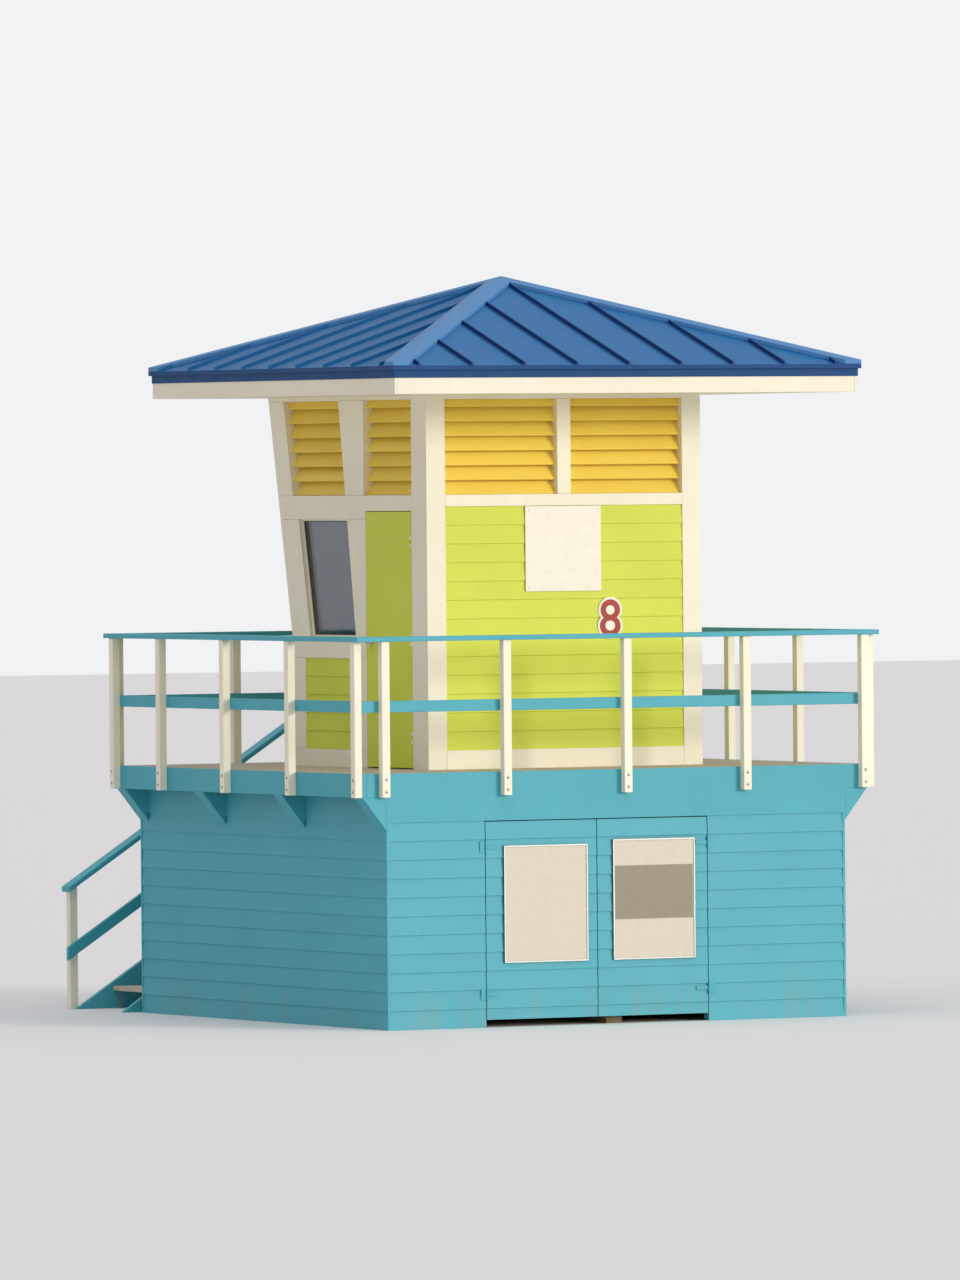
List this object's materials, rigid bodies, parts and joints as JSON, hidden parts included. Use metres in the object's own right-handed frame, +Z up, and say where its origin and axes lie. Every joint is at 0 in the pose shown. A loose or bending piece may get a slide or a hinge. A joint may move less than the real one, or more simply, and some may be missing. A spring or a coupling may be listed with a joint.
{
  "type": "lifeguard tower",
  "caption": "Timber lifeguard tower: lap-sided store room, railed deck with stair, cabin with a leaning glazed front and louvred vents under a hipped standing-seam metal roof",
  "frame": {"origin": "on the ground under the middle of the store room, on the underside of the middle skid", "axes": "+Z up, -Y towards the sea and the leaning front, +Y the land side with the store doors, +X the side with the cabin door"},
  "size_m": [4.688, 5.514, 5.9075],
  "materials": {
    "turquoise_paint": "exterior lap siding and boards, satin turquoise paint",
    "cream_paint": "planed boards, satin cream paint",
    "lime_paint": "lap siding, satin lime paint",
    "yellow_paint": "louvre boards, satin yellow paint",
    "deck_timber": "weathered softwood boards",
    "rough_timber": "treated rough-sawn timber",
    "roof_blue": "standing-seam sheet, baked blue coating",
    "hip_cap_blue": "folded hip caps, paler blue coating",
    "window_glass": "tinted float glass",
    "steel": "stainless lever handle"
  },
  "bodies": {
    "tower": {"back_louvres": "yellow_paint", "back_rail_posts": "cream_paint", "back_rails": "turquoise_paint", "base_back_header": "turquoise_paint", "base_back_wall_left": "turquoise_paint", "base_back_wall_right": "turquoise_paint", "base_front_wall": "turquoise_paint", "base_left_wall": "turquoise_paint", "base_right_wall": "turquoise_paint", "cabin_back_wall": "lime_paint", "cabin_front_frame": "lime_paint", "cabin_front_wall": "lime_paint", "cabin_left_door_head": "lime_paint", "cabin_left_wall_front": "lime_paint", "cabin_left_wall_rear": "lime_paint", "cabin_left_window_frame": "lime_paint", "cabin_right_wall_front": "lime_paint", "cabin_right_wall_rear": "lime_paint", "cabin_right_window_frame": "lime_paint", "cabin_trim": "cream_paint", "deck_boards": "deck_timber", "deck_brackets": "turquoise_paint", "deck_joists": "rough_timber", "deck_rim": "turquoise_paint", "fascia": "cream_paint", "front_louvres": "yellow_paint", "front_rail_posts": "cream_paint", "front_rails": "turquoise_paint", "front_window_glass": "window_glass", "hinge_plates": "lime_paint", "hip_caps": "hip_cap_blue", "landing_boards": "deck_timber", "landing_frame": "turquoise_paint", "left_louvres": "yellow_paint", "left_rail_posts": "cream_paint", "left_rails": "turquoise_paint", "left_window_glass": "window_glass", "right_louvres": "yellow_paint", "right_rail_posts": "cream_paint", "right_rails": "turquoise_paint", "right_window_glass": "window_glass", "roof_slope_back": "roof_blue", "roof_slope_front": "roof_blue", "roof_slope_left": "roof_blue", "roof_slope_right": "roof_blue", "skids": "rough_timber", "soffit": "cream_paint", "stair_posts": "cream_paint", "stair_rails": "turquoise_paint", "stair_stringers": "turquoise_paint", "store_floor": "deck_timber", "treads": "deck_timber"},
    "cabin_door_leaf": {"cabin_door": "lime_paint", "cabin_door_handle": "steel"},
    "store_door_left_leaf": {"store_door_left": "turquoise_paint"},
    "store_door_right_leaf": {"store_door_right": "turquoise_paint"}
  },
  "joints": [
    {"name": "cabin_door_hinge", "type": "hinge", "parent": "tower", "child": "cabin_door_leaf", "pos_m": [1.247, 1.027, 3.022], "axis": [0, 0, 1], "range_deg": [0, 100]},
    {"name": "store_door_left_hinge", "type": "hinge", "parent": "tower", "child": "store_door_left_leaf", "pos_m": [1.186, 2.128, 0.8], "axis": [0, 0, -1], "range_deg": [0, 110]},
    {"name": "store_door_right_hinge", "type": "hinge", "parent": "tower", "child": "store_door_right_leaf", "pos_m": [-0.806, 2.128, 0.8], "axis": [0, 0, 1], "range_deg": [0, 110]}
  ]
}
